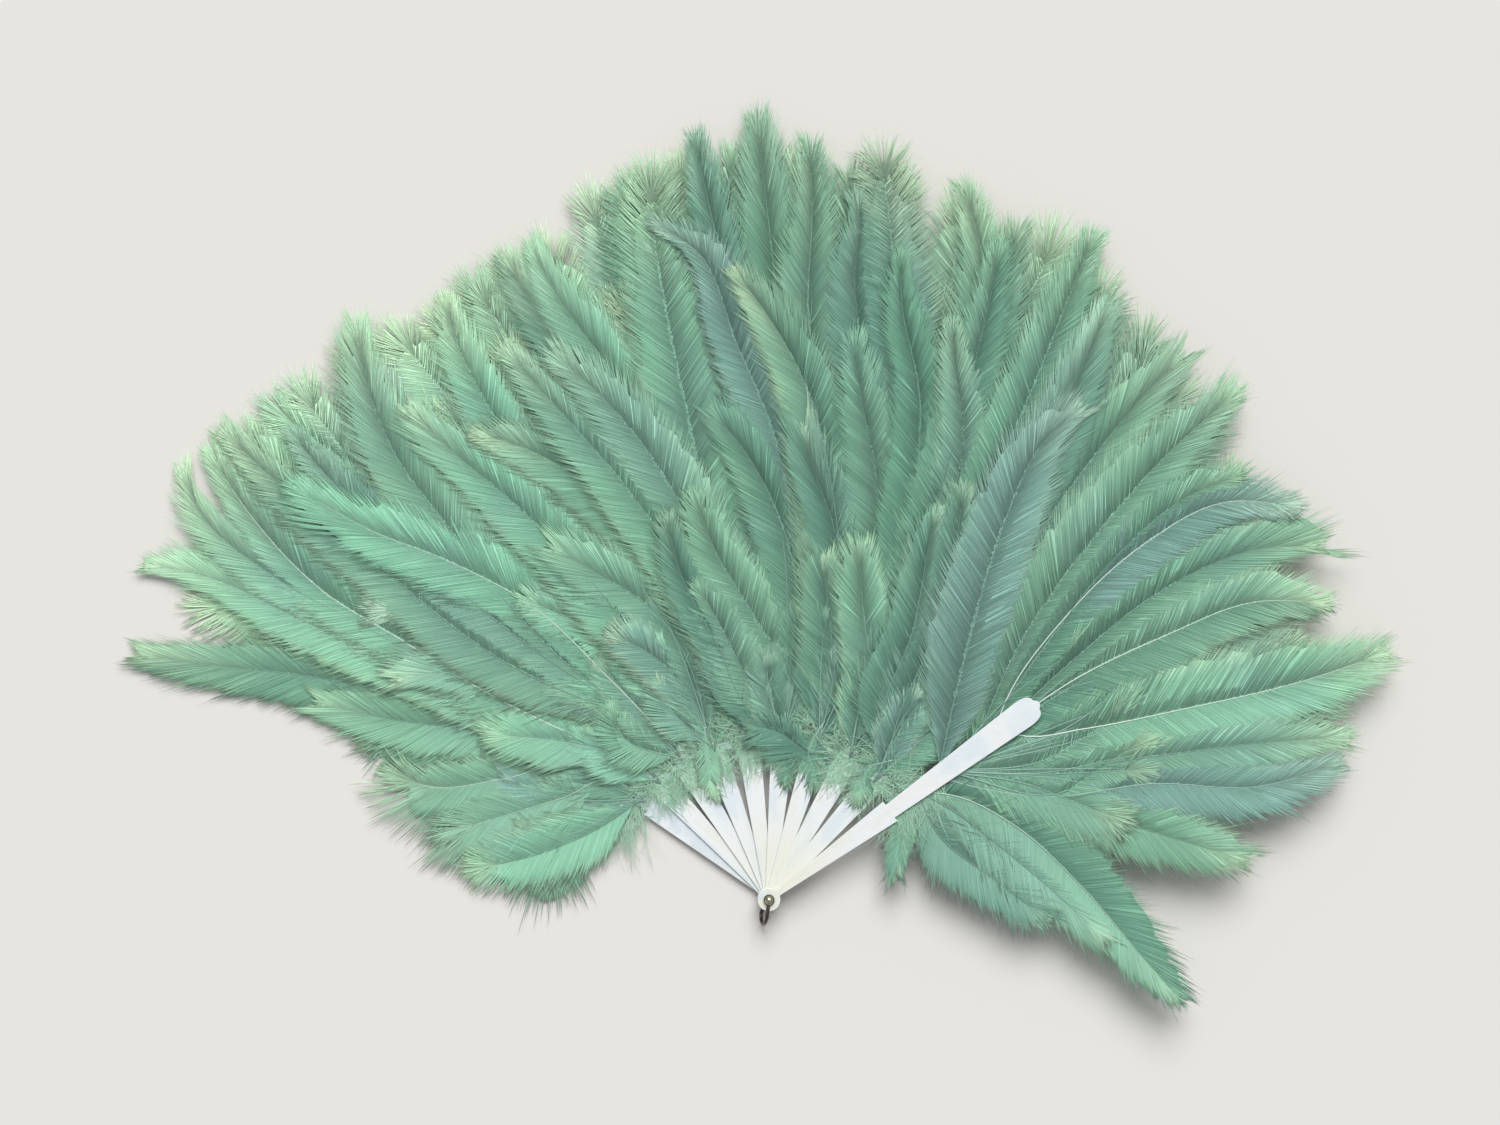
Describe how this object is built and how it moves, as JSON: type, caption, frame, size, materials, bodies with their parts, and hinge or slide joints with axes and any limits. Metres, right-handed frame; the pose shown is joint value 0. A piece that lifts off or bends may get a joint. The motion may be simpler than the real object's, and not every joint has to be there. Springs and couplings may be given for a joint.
{
  "type": "feather fan",
  "caption": "Folding fan of dyed plumes on pearl sticks that turn on one rivet, with a flared front guard and a hanging loop.",
  "frame": {"origin": "on the rivet axis, at the flat rear face of the rivet, which rests on the table", "axes": "+Z out of the front of the open fan, along the rivet; +X to the right across the open fan; +Y from the rivet towards the plume tips"},
  "size_m": [0.7634, 0.5427, 0.0263],
  "materials": {
    "pearl": "polished",
    "plume": "matte",
    "ribbon": "satin",
    "rivet": "satin",
    "loop": "satin"
  },
  "bodies": {
    "rear_guard": {"rear_guard": "pearl", "rivet_pin": "rivet", "rear_washer": "rivet", "front_washer": "rivet", "link_ribbon_1": "ribbon", "rear_guard_long_plume": "plume", "rear_guard_mid_plume": "plume", "rear_guard_short_plume": "plume", "rear_guard_low_plume": "plume"},
    "stick_1": {"stick_1": "pearl", "link_ribbon_2": "ribbon", "stick_1_long_plume": "plume", "stick_1_crest_plume": "plume", "stick_1_mid_plume": "plume", "stick_1_short_plume": "plume"},
    "stick_2": {"stick_2": "pearl", "link_ribbon_3": "ribbon", "stick_2_long_plume": "plume", "stick_2_crest_plume": "plume", "stick_2_mid_plume": "plume", "stick_2_short_plume": "plume"},
    "stick_3": {"stick_3": "pearl", "link_ribbon_4": "ribbon", "stick_3_long_plume": "plume", "stick_3_mid_plume": "plume", "stick_3_short_plume": "plume"},
    "stick_4": {"stick_4": "pearl", "link_ribbon_5": "ribbon", "stick_4_long_plume": "plume", "stick_4_crest_plume": "plume", "stick_4_mid_plume": "plume"},
    "stick_5": {"stick_5": "pearl", "link_ribbon_6": "ribbon", "stick_5_long_plume": "plume", "stick_5_crest_plume": "plume", "stick_5_mid_plume": "plume"},
    "stick_6": {"stick_6": "pearl", "link_ribbon_7": "ribbon", "stick_6_long_plume": "plume", "stick_6_crest_plume": "plume", "stick_6_mid_plume": "plume", "stick_6_short_plume": "plume"},
    "stick_7": {"stick_7": "pearl", "link_ribbon_8": "ribbon", "stick_7_long_plume": "plume", "stick_7_crest_plume": "plume", "stick_7_mid_plume": "plume"},
    "stick_8": {"stick_8": "pearl", "link_ribbon_9": "ribbon", "stick_8_long_plume": "plume", "stick_8_crest_plume": "plume", "stick_8_mid_plume": "plume"},
    "front_guard": {"front_guard": "pearl", "front_guard_left_plume": "plume", "front_guard_upper_plume": "plume", "front_guard_middle_plume": "plume", "front_guard_long_plume": "plume", "front_guard_lower_plume": "plume", "front_guard_loose_plume": "plume"},
    "loop": {"hanging_loop": "loop"}
  },
  "joints": [
    {"name": "fan_fold", "type": "hinge", "parent": "rear_guard", "child": "front_guard", "pos_m": [0, 0, 0], "axis": [0, 0, 1], "range_deg": [0, 105.6]},
    {"name": "stick_1_turn", "type": "hinge", "parent": "rear_guard", "child": "stick_1", "pos_m": [0, 0, 0], "axis": [0, 0, 1], "range_deg": [0, 8.6]},
    {"name": "stick_2_turn", "type": "hinge", "parent": "rear_guard", "child": "stick_2", "pos_m": [0, 0, 0], "axis": [0, 0, 1], "range_deg": [0, 20.1]},
    {"name": "stick_3_turn", "type": "hinge", "parent": "rear_guard", "child": "stick_3", "pos_m": [0, 0, 0], "axis": [0, 0, 1], "range_deg": [0, 31.8]},
    {"name": "stick_4_turn", "type": "hinge", "parent": "rear_guard", "child": "stick_4", "pos_m": [0, 0, 0], "axis": [0, 0, 1], "range_deg": [0, 44.6]},
    {"name": "stick_5_turn", "type": "hinge", "parent": "rear_guard", "child": "stick_5", "pos_m": [0, 0, 0], "axis": [0, 0, 1], "range_deg": [0, 57.2]},
    {"name": "stick_6_turn", "type": "hinge", "parent": "rear_guard", "child": "stick_6", "pos_m": [0, 0, 0], "axis": [0, 0, 1], "range_deg": [0, 69.4]},
    {"name": "stick_7_turn", "type": "hinge", "parent": "rear_guard", "child": "stick_7", "pos_m": [0, 0, 0], "axis": [0, 0, 1], "range_deg": [0, 81.5]},
    {"name": "stick_8_turn", "type": "hinge", "parent": "rear_guard", "child": "stick_8", "pos_m": [0, 0, 0], "axis": [0, 0, 1], "range_deg": [0, 93.6]},
    {"name": "loop_swing", "type": "hinge", "parent": "rear_guard", "child": "loop", "pos_m": [0, 0, 0], "axis": [0, 0, 1], "range_deg": [-70, 70]}
  ],
  "couplings": [
    {"joint": "stick_1_turn", "follows": "fan_fold", "ratio": 0.080492},
    {"joint": "stick_2_turn", "follows": "fan_fold", "ratio": 0.18939},
    {"joint": "stick_3_turn", "follows": "fan_fold", "ratio": 0.30019},
    {"joint": "stick_4_turn", "follows": "fan_fold", "ratio": 0.4214},
    {"joint": "stick_5_turn", "follows": "fan_fold", "ratio": 0.54072},
    {"joint": "stick_6_turn", "follows": "fan_fold", "ratio": 0.65625},
    {"joint": "stick_7_turn", "follows": "fan_fold", "ratio": 0.77083},
    {"joint": "stick_8_turn", "follows": "fan_fold", "ratio": 0.88542}
  ]
}
